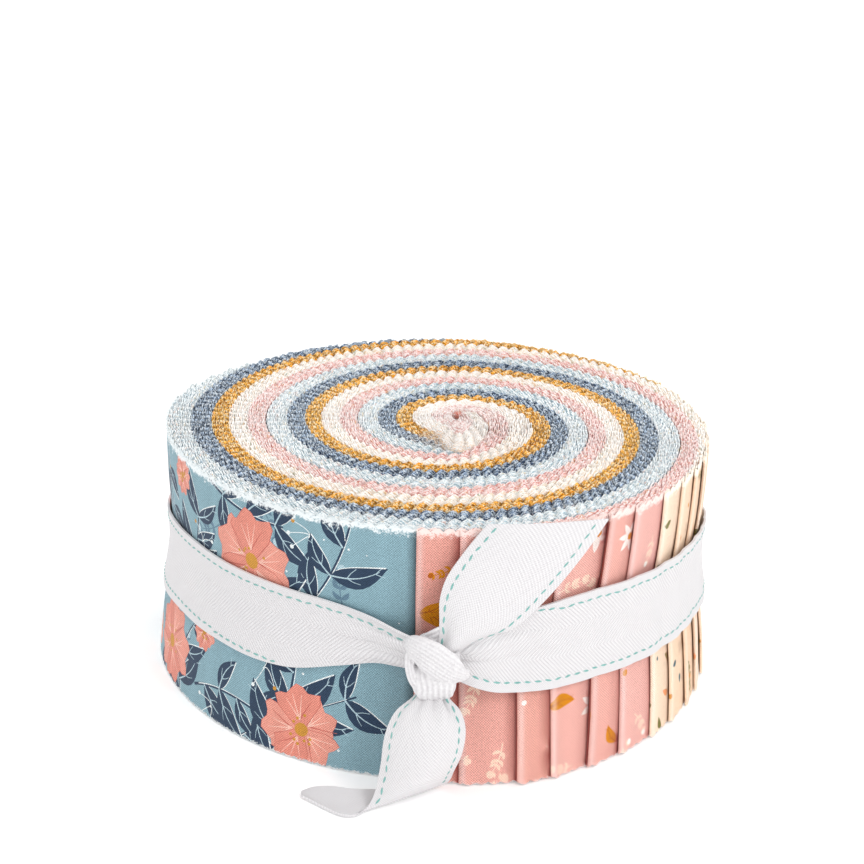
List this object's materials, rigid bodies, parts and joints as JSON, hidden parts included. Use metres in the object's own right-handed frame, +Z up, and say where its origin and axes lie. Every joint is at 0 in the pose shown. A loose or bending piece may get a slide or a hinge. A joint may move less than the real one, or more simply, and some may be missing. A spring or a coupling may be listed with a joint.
{
  "type": "roll of quilting fabric strips",
  "caption": "Rolled-up bundle of folded, pinked cotton quilting strips standing on its cut edges, tied round the middle with a flat twill tape in a simple knot.",
  "frame": {"origin": "middle of the flat bottom of the roll, on the surface that it stands on", "axes": "+Z up along the roll's axis, front with the knot and the tails at -Y, +X to the right seen from the front"},
  "size_m": [0.1441, 0.1613, 0.0651],
  "materials": {
    "cotton": "printed plain-weave quilting cotton with pinked, slightly fuzzy cut edges",
    "twill": "white cotton twill tape with a dashed stitch along both edges"
  },
  "bodies": {
    "root": {"fabric_roll": "cotton", "tie_tape": "twill"}
  },
  "joints": []
}
